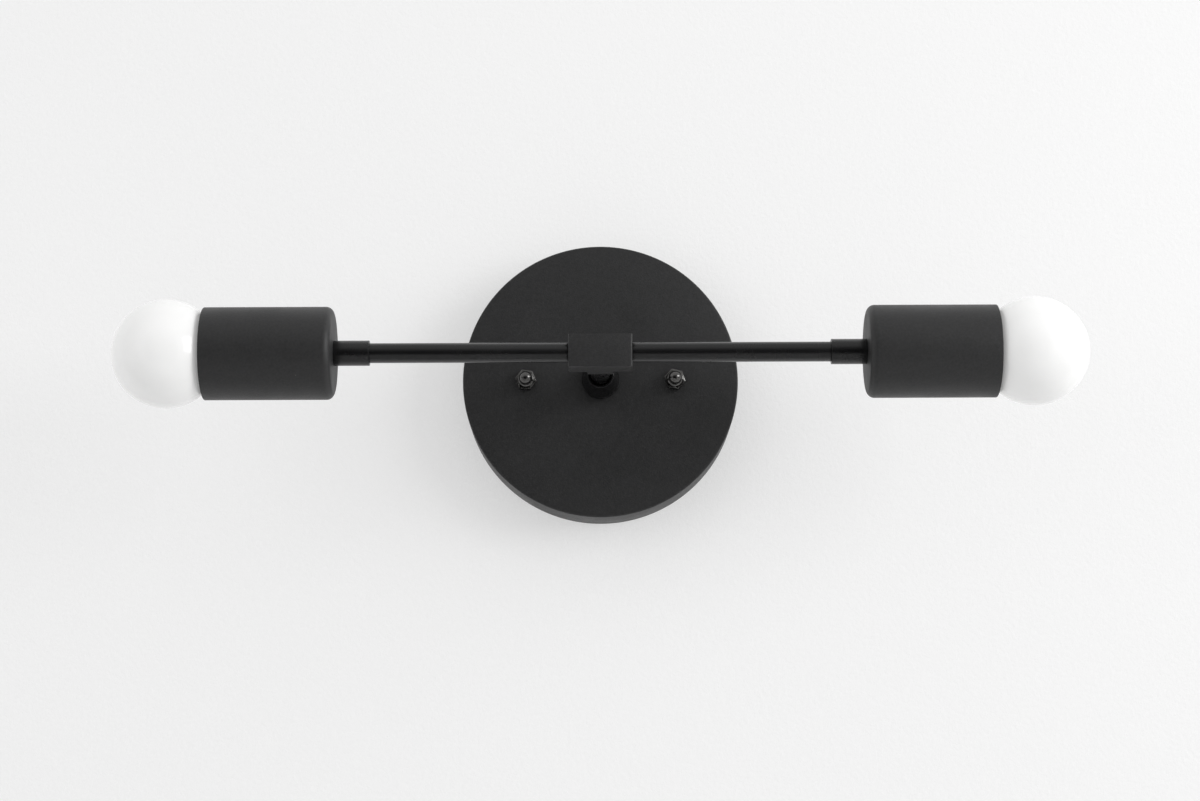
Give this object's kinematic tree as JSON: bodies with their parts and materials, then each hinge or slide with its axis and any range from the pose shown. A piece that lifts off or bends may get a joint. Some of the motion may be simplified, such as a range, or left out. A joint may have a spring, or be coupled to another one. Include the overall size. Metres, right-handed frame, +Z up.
{
  "type": "vanity light",
  "caption": "Wall light with a round canopy, a straight bar on a tee block, and plain socket cups that hold white globe bulbs.",
  "frame": {"origin": "centre of the box strap's two slots, on the wall plane", "axes": "+X along the bar to the right bulb, +Y into the wall, +Z up"},
  "size_m": [0.4662, 0.131, 0.1396],
  "materials": {
    "black_powder_coat": "matte black powder coat on steel",
    "black_satin_lacquer": "satin black lacquer on drawn tube",
    "black_nut_finish": "glossy black on brass",
    "zinc_steel": "zinc plated",
    "plated_steel": "nickel plated",
    "brass": "plain",
    "socket_moulding": "black phenolic moulding",
    "black_glass": "black glass insulator",
    "rolled_aluminium": "rolled sheet",
    "opal_glass": "glossy opal white",
    "clear_glass": "clear",
    "black_insulation": "soft sheath",
    "white_insulation": "soft sheath",
    "bare_copper": "bare copper",
    "green_screw": "green dyed zinc",
    "connector_plastic": "orange moulding"
  },
  "bodies": {
    "fixture": {"canopy": "black_powder_coat", "collar": "black_powder_coat", "tee_block": "black_powder_coat", "socket_cup_left": "black_powder_coat", "socket_cup_right": "black_powder_coat", "stem_tube": "black_satin_lacquer", "arm_tube_left": "black_satin_lacquer", "arm_tube_right": "black_satin_lacquer", "coupling_left": "black_satin_lacquer", "coupling_right": "black_satin_lacquer", "nipple_left": "zinc_steel", "nipple_right": "zinc_steel", "socket_bracket_left": "zinc_steel", "socket_bracket_right": "zinc_steel", "bracket_screws": "zinc_steel", "box_strap": "zinc_steel", "stud_strap": "zinc_steel", "ground_lug": "zinc_steel", "stem_washer": "plated_steel", "stem_locknut": "plated_steel", "cup_washers": "plated_steel", "cup_locknuts": "plated_steel", "neutral_terminals": "plated_steel", "canopy_studs": "plated_steel", "stud_locknuts": "plated_steel", "centre_contact_left": "brass", "centre_contact_right": "brass", "contact_rivets": "brass", "live_terminals": "brass", "strap_eyelet": "brass", "socket_body_left": "socket_moulding", "socket_body_right": "socket_moulding", "screw_shell_left": "rolled_aluminium", "screw_shell_right": "rolled_aluminium", "black_lead_left": "black_insulation", "black_lead_right": "black_insulation", "white_lead_left": "white_insulation", "white_lead_right": "white_insulation", "ground_wire": "bare_copper", "ground_screw": "green_screw", "wire_connectors": "connector_plastic"},
    "bulb_carrier_left": {"tip_contact_left": "zinc_steel", "insulator_left": "black_glass"},
    "bulb_left": {"globe_left": "opal_glass", "glass_mount_left": "clear_glass", "filament_left": "plated_steel", "bulb_base_left": "rolled_aluminium"},
    "nut_carrier_left": {"cap_dome_left": "black_nut_finish"},
    "nut_left": {"cap_nut_left": "black_nut_finish"},
    "bulb_carrier_right": {"tip_contact_right": "zinc_steel", "insulator_right": "black_glass"},
    "bulb_right": {"globe_right": "opal_glass", "glass_mount_right": "clear_glass", "filament_right": "plated_steel", "bulb_base_right": "rolled_aluminium"},
    "nut_carrier_right": {"cap_dome_right": "black_nut_finish"},
    "nut_right": {"cap_nut_right": "black_nut_finish"}
  },
  "joints": [
    {"name": "bulb_left_travel", "type": "slide", "parent": "fixture", "child": "bulb_carrier_left", "axis": [-1, 0, 0], "range_m": [0, 0.03639]},
    {"name": "bulb_left_unscrew", "type": "hinge", "parent": "bulb_carrier_left", "child": "bulb_left", "pos_m": [-0.207, -0.105, 0], "axis": [-1, 0, 0], "range_deg": [0, 3600]},
    {"name": "cap_nut_left_travel", "type": "slide", "parent": "fixture", "child": "nut_carrier_left", "axis": [0, -1, 0], "range_m": [0, 0.00794]},
    {"name": "cap_nut_left_unscrew", "type": "hinge", "parent": "nut_carrier_left", "child": "nut_left", "pos_m": [-0.03775, -0.0308, 0], "axis": [0, -1, 0], "range_deg": [0, 3600]},
    {"name": "bulb_right_travel", "type": "slide", "parent": "fixture", "child": "bulb_carrier_right", "axis": [1, 0, 0], "range_m": [0, 0.03639]},
    {"name": "bulb_right_unscrew", "type": "hinge", "parent": "bulb_carrier_right", "child": "bulb_right", "pos_m": [0.207, -0.105, 0], "axis": [1, 0, 0], "range_deg": [0, 3600]},
    {"name": "cap_nut_right_travel", "type": "slide", "parent": "fixture", "child": "nut_carrier_right", "axis": [0, -1, 0], "range_m": [0, 0.00794]},
    {"name": "cap_nut_right_unscrew", "type": "hinge", "parent": "nut_carrier_right", "child": "nut_right", "pos_m": [0.03775, -0.0308, 0], "axis": [0, -1, 0], "range_deg": [0, 3600]}
  ],
  "couplings": [
    {"joint": "bulb_left_travel", "follows": "bulb_left_unscrew", "m_per_rad": 0.00057757},
    {"joint": "cap_nut_left_unscrew", "follows": "cap_nut_left_travel", "rad_per_m": 7913.3},
    {"joint": "bulb_right_travel", "follows": "bulb_right_unscrew", "m_per_rad": 0.00057757},
    {"joint": "cap_nut_right_unscrew", "follows": "cap_nut_right_travel", "rad_per_m": 7913.3}
  ]
}
